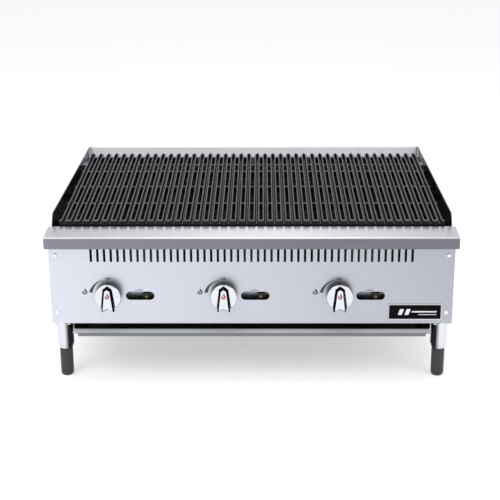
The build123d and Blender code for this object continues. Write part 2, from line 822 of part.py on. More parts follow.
# Cross pieces, each a start along the grate and a length: end rails, then three ribs.
cross_pieces = [(0, end_rail_width), (rear_rail_start, end_rail_width)]
for number in range(3):
    cross_pieces.append((rib_pitch * (number + 1) - rib_width / 2, rib_width))
rail_low = -rail_drop - rail_depth


def grate_section(x, along):
    """Plane across the bars, that far from the front; its normal points forward."""
    y, z = slope_point(along, 0)
    return Plane(origin=(x, y, z), x_dir=(1, 0, 0), z_dir=(0, -slope_cos, -slope_sin))


for index in range(grate_count):
    x = (index - (grate_count - 1) / 2) * grate_pitch
    with BuildPart() as grate:
        for outline, start, length in bar_pieces:
            with BuildSketch(grate_section(x, start)):
                with GridLocations(bar_pitch, 0, grate_bars, 1):
                    add(outline_face(outline))
            extrude(amount=-length)
        for start, length in cross_pieces:
            with BuildSketch(grate_section(x, start)):
                with Locations((0, (rail_low - rail_drop) / 2)):
                    Rectangle(grate_width, rail_depth)
                with GridLocations(bar_pitch, 0, grate_bars, 1):
                    add(outline_face(groove_outline), mode=Mode.SUBTRACT)
            extrude(amount=-length)
        with BuildSketch(grate_section(x, 0)):
            with Locations((0, rail_low - scallop_drop + scallop_radius)):
                with GridLocations(bar_pitch, 0, grate_bars, 1):
                    Circle(scallop_radius)
        extrude(amount=-end_rail_width)
    write(grate, f"grate_{index + 1}")

# ------------------------------------------------------------------ drip tray
pan_front = ledge_front + tray_pan_front
pan_back = ledge_front + tray_back
pan_floor = tray_rim_top - tray_pan_depth
pan_outline = [
    (pan_front, tray_rim_top),
    (pan_front + tray_front_slope, pan_floor),
    (pan_back, pan_floor),
    (pan_back, tray_rim_top),
]
inner_outline = [
    (pan_front + 2 * tray_sheet, tray_rim_top + 1),
    (pan_front + tray_front_slope + tray_sheet, pan_floor + tray_sheet),
    (pan_back - tray_sheet, pan_floor + tray_sheet),
    (pan_back - tray_sheet, tray_rim_top + 1),
]
flange_front = pan_front - tray_flange
tray_half = tray_width / 2
lip_half = tray_half - tray_lip_inset
with BuildPart() as drip_tray:
    with BuildSketch(Plane.YZ.offset(-tray_pan_half)):
        add(outline_face(pan_outline))
    extrude(amount=2 * tray_pan_half)
    with BuildSketch(Plane.YZ.offset(-tray_pan_half + tray_sheet)):
        add(outline_face(inner_outline))
    extrude(amount=2 * (tray_pan_half - tray_sheet), mode=Mode.SUBTRACT)
    rim = (tray_rim_top - tray_sheet, tray_rim_top)
    for side in (-1, 1):
        block((side * (tray_pan_half - tray_sheet), side * tray_half), (pan_front, pan_back), rim)
    block((-tray_half, tray_half), (flange_front, pan_front + tray_sheet), rim)
    block((-lip_half, lip_half), (flange_front, flange_front + tray_sheet), (rim[1] - tray_lip, rim[1]))
write(drip_tray, "drip_tray")

# Runners: angles hung inside the base rails, whose feet carry the tray's rims.
runner_seat = rim[0] - slide_clearance
runner_run = (panel_back + flange + seam, pan_back + 10)
with BuildPart() as tray_runners:
    for side in (-1, 1):
        web = (side * runner_inner, side * (runner_outer - 0.1))
        block(web, runner_run, (runner_seat - sheet, body_bottom + runner_height))
        foot = (side * (tray_pan_half + 2), side * (runner_outer - 0.1))
        block(foot, runner_run, (runner_seat - sheet, runner_seat))
        stop = (side * (tray_pan_half + 2), side * runner_inner)
        block(stop, (pan_back + 2, pan_back + 2 + sheet), (runner_seat - sheet, tray_rim_top))
write(tray_runners, "tray_runners")

# ------------------------------------------------------------------ legs and feet
leg_spots = [(side * leg_x, y) for y in leg_ys for side in (-1, 1)]
plug_top = leg_foot_z + leg_plug
with BuildPart() as legs:
    for x, y in leg_spots:
        with Locations((x, y, leg_top)):
            Box(*leg_plate, align=(Align.CENTER, Align.CENTER, Align.MIN))
        with Locations((x, y, leg_foot_z + leg_taper)):
            Cylinder(leg_radius, leg_tube_length, align=(Align.CENTER, Align.CENTER, Align.MIN))
        with Locations((x, y, leg_foot_z)):
            Cone(foot_radius + 1, leg_radius, leg_taper, align=(Align.CENTER, Align.CENTER, Align.MIN))
        with Locations((x, y, plug_top)):
            Cylinder(
                leg_radius - leg_wall,
                leg_top - plug_top,
                align=(Align.CENTER, Align.CENTER, Align.MIN),
                mode=Mode.SUBTRACT,
            )
        with Locations((x, y, leg_foot_z)):
            Cylinder(
                foot_stud_radius + seam,
                leg_plug,
                align=(Align.CENTER, Align.CENTER, Align.MIN),
                mode=Mode.SUBTRACT,
            )
write(legs, "legs")

# Bolts that hold the leg plates under the base rails.
bolt_spots = [
    (x + across * (leg_plate[0] / 2 - 6), y + along * (leg_plate[1] / 2 - 8))
    for x, y in leg_spots
    for across in (-1, 1)
    for along in (-1, 1)
]
with BuildPart() as leg_bolts:
    with BuildSketch(Plane.XY.offset(leg_top)):
        with Locations(*bolt_spots):
            RegularPolygon(bolt_radius, 6)
    extrude(amount=-bolt_head)
write(leg_bolts, "leg_bolts")

foot_top = leg_foot_z - seam
foot_outline = [
    (0, 0),
    (foot_radius - 4, 0),
    (foot_radius - 1, 3),
    (foot_radius, 8),
    (foot_radius, foot_top - 5),
    (foot_radius - 2, foot_top),
    (foot_stud_radius, foot_top),
    (foot_stud_radius, foot_top + foot_stud_length),
    (0, foot_top + foot_stud_length),
]
foot_names = ("foot_front_left", "foot_front_right", "foot_rear_left", "foot_rear_right")
for (x, y), name in zip(leg_spots, foot_names):
    with BuildPart() as foot:
        with BuildSketch(Plane(origin=(x, y, 0), x_dir=(1, 0, 0), z_dir=(0, -1, 0))):
            add(outline_face(foot_outline))
        revolve(axis=Axis((x, y, 0), (0, 0, 1)))
    write(foot, name)

overall_height = max(splash_top, slope_point(grate_length, 0)[1])
print("overall size", ledge_width, overall_depth, round(overall_height, 1))
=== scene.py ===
# %% [markdown]
# # A counter charbroiler, dressed for a studio picture
# The grill is folded stainless steel round a cast-iron cooking surface. Its solids are
# already exact, so they stay where they are and get finishes. Those that the eye catches
# are replaced by copies with rolled edges. What goes on top of a solid is a piece of its
# own: the print on the panel, the frame and bars of the plate, the enamel on the knobs.
# Each added piece rides on the body that carries it, so that it follows when a knob
# turns or the tray slides out.

# %% Load the grill and measure it
import json
from math import cos, pi, radians, sin, tan

import bpy
from mathutils import Matrix, Vector

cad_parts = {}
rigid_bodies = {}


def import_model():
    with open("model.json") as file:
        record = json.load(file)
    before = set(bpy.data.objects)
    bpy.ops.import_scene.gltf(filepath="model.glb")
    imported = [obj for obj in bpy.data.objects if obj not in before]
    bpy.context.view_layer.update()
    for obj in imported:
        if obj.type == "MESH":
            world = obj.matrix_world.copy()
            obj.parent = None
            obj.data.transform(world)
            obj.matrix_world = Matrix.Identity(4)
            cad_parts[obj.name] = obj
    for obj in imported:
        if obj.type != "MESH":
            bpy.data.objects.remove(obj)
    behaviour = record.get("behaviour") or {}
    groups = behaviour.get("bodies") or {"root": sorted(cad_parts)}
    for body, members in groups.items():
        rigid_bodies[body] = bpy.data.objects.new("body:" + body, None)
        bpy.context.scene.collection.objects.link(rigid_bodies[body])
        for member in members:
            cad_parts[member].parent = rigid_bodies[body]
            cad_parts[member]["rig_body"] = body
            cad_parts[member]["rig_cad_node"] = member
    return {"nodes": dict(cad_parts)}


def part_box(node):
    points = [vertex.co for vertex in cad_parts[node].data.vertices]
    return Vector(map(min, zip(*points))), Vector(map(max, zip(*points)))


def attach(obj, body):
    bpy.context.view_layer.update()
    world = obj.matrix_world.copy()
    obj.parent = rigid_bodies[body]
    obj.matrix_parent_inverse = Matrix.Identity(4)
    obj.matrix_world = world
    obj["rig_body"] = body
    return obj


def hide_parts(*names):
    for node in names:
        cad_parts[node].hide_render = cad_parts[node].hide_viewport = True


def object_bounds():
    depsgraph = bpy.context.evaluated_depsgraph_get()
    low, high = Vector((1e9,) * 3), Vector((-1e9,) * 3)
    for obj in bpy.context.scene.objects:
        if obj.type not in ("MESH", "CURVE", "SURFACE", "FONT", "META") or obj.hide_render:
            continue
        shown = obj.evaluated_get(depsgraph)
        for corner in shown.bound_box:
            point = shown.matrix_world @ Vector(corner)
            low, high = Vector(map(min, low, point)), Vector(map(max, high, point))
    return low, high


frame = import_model()
cad_low, cad_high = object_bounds()
print("solids:", len(frame["nodes"]), "box:", [round(v, 4) for v in cad_high - cad_low])

# %% [markdown]
# ## Writing a finish as arithmetic
# A finish in Blender is a graph of nodes. Wiring them one at a time hides the idea, so a
# small class stands for one output socket and turns + - * into Math nodes. A finish then
# reads like the sum it is: a base value plus a little noise.

# %% A socket that can be added and multiplied
class Sock:
    def __init__(self, graph, output):
        self.graph = graph
        self.output = output

    def _math(self, operation, first, second):
        settings, inputs = {"operation": operation}, {0: first, 1: second}
        return self.graph.node("ShaderNodeMath", settings, inputs)

    def __add__(self, other):
        return self._math("ADD", self, other)

    def __radd__(self, other):
        return self._math("ADD", other, self)

    def __sub__(self, other):
        return self._math("SUBTRACT", self, other)

    def __rsub__(self, other):
        return self._math("SUBTRACT", other, self)

    def __mul__(self, other):
        return self._math("MULTIPLY", self, other)

    def __rmul__(self, other):
        return self._math("MULTIPLY", other, self)

    def or_larger(self, other):
        return self._math("MAXIMUM", self, other)


# %% [markdown]
# One method makes every other kind of node: its type, then its settings, then the values
# or links of its sockets. Settings come first because some of them, such as a Mix node's
# data type, decide which sockets there are. A graph belongs to a material or to the
# world, and its shader's own sockets are set by name, as constants or as links.

# %% A graph of nodes and its shader
class Graph:
    def __init__(self, owner, shader, **constants):
        owner.use_nodes = True
        self.tree = owner.node_tree
        self.shader = self.tree.nodes[shader]
        for socket, value in constants.items():
            self.shader.inputs[socket.replace("_", " ")].default_value = value

    def node(self, kind, settings=None, inputs=None, out=0):
        made = self.tree.nodes.new(kind)
        for key, value in (settings or {}).items():
            setattr(made, key, value)
        for key, value in (inputs or {}).items():
            if isinstance(value, Sock):
                self.tree.links.new(value.output, made.inputs[key])
            else:
                made.inputs[key].default_value = value
        return Sock(self, made.outputs[out])

    def set(self, **links):
        for socket, value in links.items():
            self.tree.links.new(value.output, self.shader.inputs[socket.replace("_", " ")])
        return self


# %% [markdown]
# A finish is the graph of one material. Its short methods give the few things that the
# finishes are made of. "away" is the distance from a plane to either side, "band" is a
# ramp between two limits, "tint" is the colour set so far, and "layer" mixes another
# colour over it.

# %% A finish: one material and what it is made of
class Finish(Graph):
    def __init__(self, name, **constants):
        self.material = bpy.data.materials.new(name)
        super().__init__(self.material, "Principled BSDF", **constants)
        self.place = self.node("ShaderNodeTexCoord", out="Object")

    def noise(self, scale, stretch=(1, 1, 1), detail=3, rough=0.55, shift=(0, 0, 0)):
        moved = {"Vector": self.place, "Location": shift, "Scale": stretch}
        spot = self.node("ShaderNodeMapping", inputs=moved)
        inputs = {"Vector": spot, "Scale": scale, "Detail": detail, "Roughness": rough}
        return self.node("ShaderNodeTexNoise", inputs=inputs)

    def axis(self, name):
        return self.node("ShaderNodeSeparateXYZ", inputs={0: self.place}, out=name)

    def away(self, name, middle=0.0):
        distance = self.axis(name) - middle
        return self.node("ShaderNodeMath", {"operation": "ABSOLUTE"}, {0: distance})

    def tint(self):
        return Sock(self, self.shader.inputs["Base Color"].links[0].from_socket)

    def layer(self, share, colour):
        return self.set(Base_Color=self.mix(share, self.tint(), colour))

    def band(self, value, low, high, start=0.0, end=1.0):
        limits = {"From Min": low, "From Max": high, "To Min": start, "To Max": end}
        return self.node("ShaderNodeMapRange", {"clamp": True}, {"Value": value, **limits})

    def mix(self, share, first, second):
        def colour(value):
            return value if isinstance(value, Sock) else (*value, 1)

        inputs = {0: share, 6: colour(first), 7: colour(second)}
        return self.node("ShaderNodeMix", {"data_type": "RGBA"}, inputs, out=2)

    def scaled(self, tone, colour):
        channels = {i: tone * colour[i] for i in range(3)}
        return self.node("ShaderNodeCombineColor", inputs=channels)

    def bump(self, height, distance, strength):
        inputs = {"Height": height, "Distance": distance, "Strength": strength}
        return self.node("ShaderNodeBump", inputs=inputs, out="Normal")


print("finish helpers ready")

# %% [markdown]
# ## Brushed stainless steel
# A belt sander leaves hair-fine lines along the sheet. They are far too small to model, so
# a noise stretched a few hundred times along the sheet stands for them: it changes the
# roughness a little and the height by microns. A second, slow noise is the uneven sheen
# that wiping leaves. A sheet's tone may also fall off gently from left to right (tilt) or
# from the middle to both ends (crown), as it does in a room lit from one side.

# %% Make the brushed sheets
ALONG_X, ALONG_Y, ALONG_Z = (3, 900, 900), (900, 3, 900), (900, 900, 3)
half_width = cad_high.x - 0.007
scratch_depth = 0.00003


def brushed(name, colour, metal, rough, grain=ALONG_X, tilt=0.0, crown=0.0, sheen=0.10):
    finish = Finish(name, Metallic=metal)
    lines = finish.noise(1.0, grain, detail=2)
    wiped = finish.noise(3.2, (1.0, 1.7, 2.3), shift=(0.3, 0.1, 0.7))
    across = finish.band(finish.axis("X"), -half_width, half_width, 1.0 + tilt, 1.0 - tilt)
    if crown:
        from_middle = finish.away("X", 0.03)
        across = across * finish.band(from_middle, 0.05, 0.42, 1.0, 1.0 - crown)
    tone = across * (0.965 + 0.05 * lines + 0.03 * wiped)
    gloss = rough + sheen * (wiped - 0.5) + 0.10 * (lines - 0.5)
    finish.set(Base_Color=finish.scaled(tone, colour), Roughness=gloss)
    return finish.set(Normal=finish.bump(lines, scratch_depth, 0.35))


stainless_panel = brushed("brushed_panel", (0.515, 0.53, 0.585), 0.80, 0.34, tilt=0.22)
stainless_side = brushed("brushed_side", (0.55, 0.57, 0.62), 0.85, 0.36, ALONG_Y)
stainless_back = brushed("brushed_backsplash", (0.96, 0.98, 1.0), 0.0, 0.55)
stainless_rear = brushed("brushed_rear", (0.66, 0.68, 0.73), 0.85, 0.38)

# %% [markdown]
# The splash guards and the legs are brushed too, but each is painted dark on one side, a painted
# dark reflection of what that side faces: the guards on their inner faces, which face the grates,
# the legs on the side that looks under the body. The guards and the legs come in mirrored pairs,
# so the distance from the middle plane says which side is which.

# %% Make the sheets with a painted dark side
guard_low, guard_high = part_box("right_splash_guard")
guard_skin = (guard_low.x + guard_high.x) / 2
stainless_splash = brushed("polished_splash", (0.60, 0.61, 0.65), 1.0, 0.14, ALONG_Y, sheen=0.05)
guard_x = stainless_splash.away("X")
# Painted dark reflection: the guards' inner faces are painted dark where they would mirror the
# dark grates and body.
guard_inside_shade = stainless_splash.band(guard_x, guard_skin, guard_skin + 0.0002, 1, 0)
stainless_splash.layer(guard_inside_shade, (0.11, 0.12, 0.135))

# Painted dark reflection: each leg's inner side is painted near black where it would mirror the
# shaded space under the body.
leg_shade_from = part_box("legs")[1].x - 0.022
leg_tube = brushed("leg_tube", (0.62, 0.63, 0.67), 1.0, 0.16, ALONG_Z)
leg_inside_shade = leg_tube.band(leg_tube.away("X"), leg_shade_from - 0.008, leg_shade_from, 1, 0)
leg_tube.layer(leg_inside_shade, (0.015, 0.015, 0.018))
print("guards are dark inside", round(guard_skin, 4), "and legs inside", round(leg_shade_from, 4))

# %% [markdown]
# The ledge's front face is painted dark, a painted shade, while its top stays bright. The tray is
# folded from the same sheet: its pan, seen through the gap under the panel, is painted black as a
# painted shadow, and its lip is painted darker as a painted shade. A slow noise smears these dark
# tones, and a painted highlight lifts them at the left end. Each change follows one axis, so a
# band of that axis picks between the tones.
# Each change follows one axis, so a band of that axis picks between the tones.

# %% Make the sheets with two tones
# A slow noise gives a smeared, uneven tone. The band over X is a painted highlight that lights the
# left end.
def smear_and_left_light(finish, colour):
    left_end_light = finish.band(finish.axis("X"), -half_width, 0.2, 1.5, 0.0)
    smear_and_light = finish.noise(4.0, (2, 1, 30)) + left_end_light
    return finish.scaled(0.9 + 0.2 * smear_and_light, colour)


face_height, face_bend = 0.027, 0.0035
ledge_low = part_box("front_ledge")[0]
face_top = ledge_low.z + face_height - face_bend
stainless_ledge = brushed("ledge_painted_shade", (0.80, 0.81, 0.87), 0.85, 0.30, crown=0.34)
# Painted shade: the ledge's front face, below the bend, is painted dark. The crown on its top is a
# painted light falloff towards both ends.
ledge_face_shade = stainless_ledge.band(stainless_ledge.axis("Z"), face_top, face_top + 0.003, 1, 0)
stainless_ledge.layer(ledge_face_shade, smear_and_left_light(stainless_ledge, (0.165, 0.165, 0.195)))

behind_panel, lip_sheet = 0.002, 0.0013
panel_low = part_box("front_panel")[0]
pan_front = panel_low.y + behind_panel
lip_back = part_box("drip_tray")[0].y + lip_sheet
tray_sheet = brushed("tray_painted_shade", (0.92, 0.93, 1.0), 0.3, 0.42)
# Painted shadow: the pan behind the panel's front plane is painted near black, standing in for the
# shadow under the panel.
tray_pan_shadow = tray_sheet.band(tray_sheet.axis("Y"), pan_front, pan_front + 0.002)
tray_sheet.layer(tray_pan_shadow, smear_and_left_light(tray_sheet, (0.018, 0.017, 0.017)))
# Painted shade: the lip's front face is painted darker than the strip above it.
tray_lip_shade = tray_sheet.band(tray_sheet.axis("Y"), lip_back, lip_back + 0.0003, 1, 0)
tray_sheet.layer(tray_lip_shade, (0.20, 0.205, 0.235))
print("ledge face is dull below", round(face_top, 4), "and the lip before", round(lip_back, 4))

# %% [markdown]
# ## Zinc-coated steel
# Hidden rails are zinc coated. Zinc freezes in crystals a few millimetres across, the
# spangle, each of which reflects a little differently. Voronoi cells are that pattern.

# %% Make the zinc
cells_per_metre = 160.0


def spangled(name, low, high, rough):
    finish = Finish(name, Metallic=0.75)
    grid = {"Vector": finish.place, "Scale": cells_per_metre}
    cells = finish.node("ShaderNodeTexVoronoi", inputs=grid, out="Color")
    value = finish.node("ShaderNodeSeparateColor", inputs={0: cells}, out="Red")
    dirt = finish.noise(14, detail=4)
    shade = finish.mix(value * 0.6 + dirt * 0.4, low, high)
    return finish.set(Base_Color=shade, Roughness=rough + 0.18 * value)


zinc = spangled("zinc_spangle", (0.16, 0.17, 0.18), (0.33, 0.34, 0.36), 0.38)
print("zinc spangle, about", round(1000 / cells_per_metre), "mm across")

# %% [markdown]
# ## Cast iron
# Iron poured in sand keeps the sand's grain, and cooking oil bakes into it as a thin dark
# skin. Height comes from two noises, the sand and the slow unevenness of a casting, and
# the colour drifts between blue-black oil and a browner bare iron. A wire brush only
# reaches the tops of the bars: there the iron is bare and grey, while grooves and flanks
# keep their soot. The cooking surface leans, so the height that parts worn from sooty
# is measured from the leaning plane.

# %% Make the iron
BROWN_IRON = (0.060, 0.043, 0.034)


def cast(name, dark, light, rough, grain=1400.0, depth=0.00025, brown=0.25, worn=None):
    finish = Finish(name, Specular_IOR_Level=0.25)
    sand = finish.noise(grain, rough=0.6)
    slow = finish.noise(38, shift=(0.4, 0.2, 0.1))
    baked = finish.noise(9, (1, 0.6, 1), detail=4, shift=(0.9, 0.5, 0.2))
    base = finish.mix(sand * 0.5 + slow * 0.5, dark, light)
    base = finish.mix(finish.band(baked, 0.5, 0.72, 0, brown), base, BROWN_IRON)
    if worn:
        lean, low, high, bare = worn
        height = finish.axis("Z") - finish.axis("Y") * tan(radians(lean))
        share = finish.band(height + 0.0010 * (slow - 0.5), low, high)
        base = finish.mix(share, base, bare)
        finish.set(Metallic=0.8 * share)
    gloss = rough + 0.16 * (slow - 0.5) + 0.14 * (sand - 0.5)
    finish.set(Base_Color=base, Roughness=gloss)
    return finish.set(Normal=finish.bump(sand * 0.6 + slow * 0.4, depth, 0.45))


grate_lean, stop_height = 2.25, 0.0045
grate_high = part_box("grate_1")[1]
bar_tops = grate_high.z - grate_high.y * tan(radians(grate_lean)) - stop_height
bare_iron = (grate_lean, bar_tops - 0.0022, bar_tops - 0.0003, (0.080, 0.085, 0.100))
soot, dry_soot = (0.004, 0.005, 0.006), (0.012, 0.013, 0.015)
grate_iron = cast("seasoned_iron", soot, dry_soot, 0.34, worn=bare_iron)
burner_cast = cast("burner_iron", (0.035, 0.034, 0.033), (0.085, 0.08, 0.075), 0.62, brown=0.6)
scorched = (0.010, 0.009, 0.009), (0.030, 0.026, 0.023)
radiant_plate = cast("scorched_plate", *scorched, 0.7, grain=300.0, depth=0.0001, brown=0.3)
print("bar tops meet the middle plane at", round(bar_tops, 4))

# %% [markdown]
# ## Small parts
# Chrome, brass, die-cast alloy, black oxide, enamel and ink are each one base colour with
# a slow change in tone and roughness, because fingers and grease never leave a part even.

# %% Make the plain finishes
def plain(name, colour, metal, rough, drift=0.08, scale=60.0, **constants):
    finish = Finish(name, Metallic=metal, **constants)
    smear = finish.noise(scale)
    shade = finish.scaled(0.90 + 0.20 * smear, colour)
    return finish.set(Base_Color=shade, Roughness=rough + drift * (smear - 0.5))


chrome = plain("knob_chrome", (0.62, 0.63, 0.67), 1.0, 0.16, 0.05)
stem_metal = plain("stem_brass", (0.55, 0.42, 0.20), 1.0, 0.28)
pipe_metal = plain("pipe_steel", (0.62, 0.64, 0.70), 0.7, 0.5)
valve_metal = plain("valve_alloy", (0.42, 0.41, 0.40), 0.9, 0.42)
pilot_body = plain("pilot_black", (0.03, 0.03, 0.03), 0.2, 0.45)
shutter_metal = plain("shutter_steel", (0.40, 0.41, 0.42), 0.9, 0.35)
pilot_metal = plain("pilot_alloy", (0.55, 0.54, 0.52), 1.0, 0.30)
foot_coat = plain("foot_coating", (0.045, 0.045, 0.050), 0.3, 0.42)
screw_metal = plain("screw_plating", (0.84, 0.85, 0.88), 0.7, 0.24)
# Painted dark reflections: knob_skirt and knob_flute are dark where the chrome would mirror a dark
# room.
knob_shade = plain("knob_skirt", (0.035, 0.038, 0.046), 1.0, 0.22, 0.05)
plate_trim = plain("plate_trim", (0.78, 0.79, 0.83), 0.5, 0.35)
flute_black = plain("knob_flute", (0.006, 0.006, 0.007), 0.0, 0.6, Specular_IOR_Level=0.0)
plate_enamel = plain("plate_enamel", (0.004, 0.004, 0.005), 0.0, 0.6, Specular_IOR_Level=0.05)
dial_ink = plain("dial_ink", (0.10, 0.10, 0.12), 0.0, 0.55, scale=900.0, Specular_IOR_Level=0.2)
flame_red = plain("flame_enamel", (0.42, 0.03, 0.04), 0.0, 0.30, scale=700.0)
print("finishes:", len(bpy.data.materials))

# %% [markdown]
# ## Dressing the solids
# Each solid gets the finish of the material it is made of. One table names the solids one
# by one. A second one is for solids that come in numbers, by how their names start.

# %% Give every solid its finish
GALVANISED = (
    "base_side_rails", "base_rail_front", "base_rail_back", "tray_runners", "firewall",
    "grate_rail_front", "grate_rail_rear", "radiant_rails", "burner_rails",
)
finish_of = {
    "front_panel": stainless_panel,
    "front_ledge": stainless_ledge,
    "left_side_panel": stainless_side,
    "right_side_panel": stainless_side,
    "left_splash_guard": stainless_splash,
    "right_splash_guard": stainless_splash,
    "backsplash": stainless_back,
    "back_panel": stainless_rear,
    "drip_tray": tray_sheet,
    "manifold_pipe": pipe_metal,
    "inlet_elbow": pipe_metal,
    "inlet_pipe": pipe_metal,
    "gas_valves": valve_metal,
    "orifice_hoods": stem_metal,
    "pilot_valves": pilot_body,
    "pilot_tubes": pilot_metal,
    "pilot_burners": pilot_metal,
    "legs": leg_tube,
    "leg_bolts": screw_metal,
    "panel_screws": screw_metal,
    "name_plate": plate_enamel,
}
finish_of.update({name: zinc for name in GALVANISED})
STARTS = (
    ("grate_", grate_iron), ("radiant_", radiant_plate), ("burner_", burner_cast),
    ("knob_", chrome), ("valve_stem_", stem_metal), ("air_shutter_", shutter_metal),
    ("pilot_screw_", stem_metal), ("foot_", foot_coat),
)
undressed = []
for name, solid in frame["nodes"].items():
    by_start = next((made for start, made in STARTS if name.startswith(start)), None)
    finish = finish_of.get(name, by_start)
    if finish is None:
        undressed.append(name)
        continue
    solid.data.materials.clear()
    solid.data.materials.append(finish.material)
print("solids without a finish:", undressed)

# %% [markdown]
# ## Rounding what the eye catches
# A solid's edges are perfectly sharp, and no real edge is: bent sheet, castings and even
# cut slots turn over a little, and that thin roll catches the light. Each solid that is
# seen from the front or from above is copied, its loose triangles are joined up, flat
# faces are merged again and a Bevel modifier rolls the edges. Weighted normals keep the
# flats flat next to a roll. The copy then stands for the solid.

# %% A copy with rolled edges
def pick(piece):
    bpy.ops.object.select_all(action="DESELECT")
    piece.select_set(True)
    bpy.context.view_layer.objects.active = piece


same_point = 0.000002
same_plane = radians(0.6)
corner = radians(32)


def rolled(node, name, radius, steps=2):
    solid = frame["nodes"][node]
    piece = solid.copy()
    piece.data = solid.data.copy()
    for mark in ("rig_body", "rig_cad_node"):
        del piece[mark]
    piece.parent = None
    piece.name = name
    bpy.context.scene.collection.objects.link(piece)
    pick(piece)
    bpy.ops.object.mode_set(mode="EDIT")
    bpy.ops.mesh.select_all(action="SELECT")
    bpy.ops.mesh.remove_doubles(threshold=same_point)
    bpy.ops.mesh.dissolve_limited(angle_limit=same_plane)
    bpy.ops.object.mode_set(mode="OBJECT")
    bevel = piece.modifiers.new("rolled_edges", "BEVEL")
    bevel.width = radius
    bevel.segments = steps
    bevel.limit_method = "ANGLE"
    bevel.angle_limit = corner
    bpy.ops.object.modifier_apply(modifier=bevel.name)
    bpy.ops.object.shade_smooth_by_angle(angle=corner)
    level = piece.modifiers.new("flats_stay_flat", "WEIGHTED_NORMAL")
    level.weight = 100
    level.keep_sharp = True
    bpy.ops.object.modifier_apply(modifier=level.name)
    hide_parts(node)
    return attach(piece, solid["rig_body"])


ROLLED = (
    ("front_panel", "front_panel_sheet", 0.0005, "stainless"),
    ("front_ledge", "front_ledge_fold", 0.0009, "stainless"),
    ("left_splash_guard", "left_splash_sheet", 0.0005, "splash_steel"),
    ("right_splash_guard", "right_splash_sheet", 0.0005, "splash_steel"),
    ("backsplash", "backsplash_sheet", 0.0005, "stainless"),
    ("drip_tray", "drip_tray_fold", 0.0004, "tray_steel"),
    ("panel_screws", "panel_screw_heads", 0.0007, "screw_steel"),
    ("name_plate", "plate_blank", 0.0004, "plate_black"),
)
GRATES = tuple((f"grate_{n}", f"grate_{n}_casting", 0.0008, "cast_iron") for n in range(1, 7))
for node, name, radius, slot in ROLLED + GRATES:
    piece = rolled(node, name, radius)
    print(name, "faces", len(piece.data.polygons))

# %% [markdown]
# ## The knobs
# The cap and grip are die cast and chromed. The skirt below the cap and the sides of the grip are
# painted dark: painted dark reflections, standing in for the dark room that chrome would mirror.
# The same rolled copy does for the shape, and its faces are then sorted by where they look:
# sideways faces in front of the cap are the flutes, and steeper ones behind its rolled edge are
# the skirt. The valve stems say where the knobs' axes are.

# %% Make three knobs
grip_height, cap_roll, seam = 0.008, 0.0015, 0.0001
skirt_ahead, flute_ahead, flute_across = 0.62, 0.93, 0.3
SKIRT, FLUTE = 1, 2
knob_spots = []
for n in (1, 2, 3):
    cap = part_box(f"knob_{n}")[0].y + grip_height
    knob = rolled(f"knob_{n}", f"knob_{n}_cap", 0.0006, steps=3)
    for finish in (knob_shade, flute_black):
        knob.data.materials.append(finish.material)
    for face in knob.data.polygons:
        across, ahead = abs(face.normal.x), abs(face.normal.y)
        # Skirt and flute faces get the painted dark reflections.
        if face.center.y > cap + cap_roll and ahead < skirt_ahead:
            face.material_index = SKIRT
        elif face.center.y < cap - seam and ahead < flute_ahead and across > flute_across:
            face.material_index = FLUTE
    stem_low, stem_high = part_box(f"valve_stem_{n}")
    knob_spots.append(((stem_low.x + stem_high.x) / 2, (stem_low.z + stem_high.z) / 2))
    spot = [round(v, 4) for v in knob_spots[-1]]
    print(knob.name, "faces", len(knob.data.polygons), "at", spot)

# %% [markdown]
# ## Print on the panel
# Screen print is a skin of ink. Each mark is drawn in millimetres as a closed outline,
# filled, given a little body and stood up against the panel. An outline that runs the
# other way inside another becomes a hole, which gives the flame its open middle.

# %% Draw a flat mark from outlines
UPRIGHT = (pi / 2, 0, 0)
INK = 0.0002


def marked(name, outlines, place, finish, body, thickness=INK):
    bpy.ops.object.select_all(action="DESELECT")
    bpy.ops.object.add(type="CURVE", location=place, rotation=UPRIGHT)
    mark = bpy.context.object
    mark.name = name
    mark.data.dimensions = "2D"
    mark.data.fill_mode = "BOTH"
    mark.data.extrude = thickness / 2
    for outline in outlines:
        line = mark.data.splines.new("POLY")
        line.points.add(len(outline) - 1)
        line.use_cyclic_u = True
        for point, (x, z) in zip(line.points, outline):
            point.co = (x / 1000, z / 1000, 0, 1)
    return settled(mark, finish, body)


def settled(mark, finish, body):
    pick(mark)
    bpy.ops.object.convert(target="MESH")
    bpy.ops.object.transform_apply(location=True, rotation=True, scale=True)
    mark.data.materials.clear()
    mark.data.materials.append(finish.material)
    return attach(mark, body)


def flame(height, width):
    shape = (
        (0.05, 1.0), (0.30, 0.62), (0.50, 0.28), (0.47, -0.02), (0.28, -0.28), (0.0, -0.36),
        (-0.30, -0.27), (-0.48, -0.02), (-0.46, 0.22), (-0.30, 0.42), (-0.22, 0.20), (-0.06, 0.55),
    )
    return [(x * width, (z - 0.32) * height * 0.735) for x, z in shape]


def open_flame(height, width, share, drop):
    drawn = flame(height, width)
    hole = [(x * share, z * share - drop) for x, z in drawn]
    return [drawn, hole[::-1]]


# %% [markdown]
# The dial's scale is a swoosh that swells from OFF round to full heat. Its two edges are
# arcs of slowly changing radius, walked out along the outer one and back on the inner.
# A black line, a painted dark reflection like the grip's sides, runs along the root of the grip,
# up one side, round its point and down the other.

# %% Print the dials
def swoosh(start, end, inner, outer, steps=26):
    share = [i / steps for i in range(steps + 1)]
    turn = [radians(start + (end - start) * t) for t in share]
    out = [outer[0] + (outer[1] - outer[0]) * t ** 1.15 for t in share]
    back = [inner[0] + (inner[1] - inner[0]) * t for t in share]
    edge = [(r * cos(a), r * sin(a)) for r, a in zip(out, turn)]
    return edge + [(r * cos(a), r * sin(a)) for r, a in zip(back, turn)][::-1]


def on_panel(name, outlines, x, z):
    marked(name, outlines, (x, ink_y, z), dial_ink, "chassis")


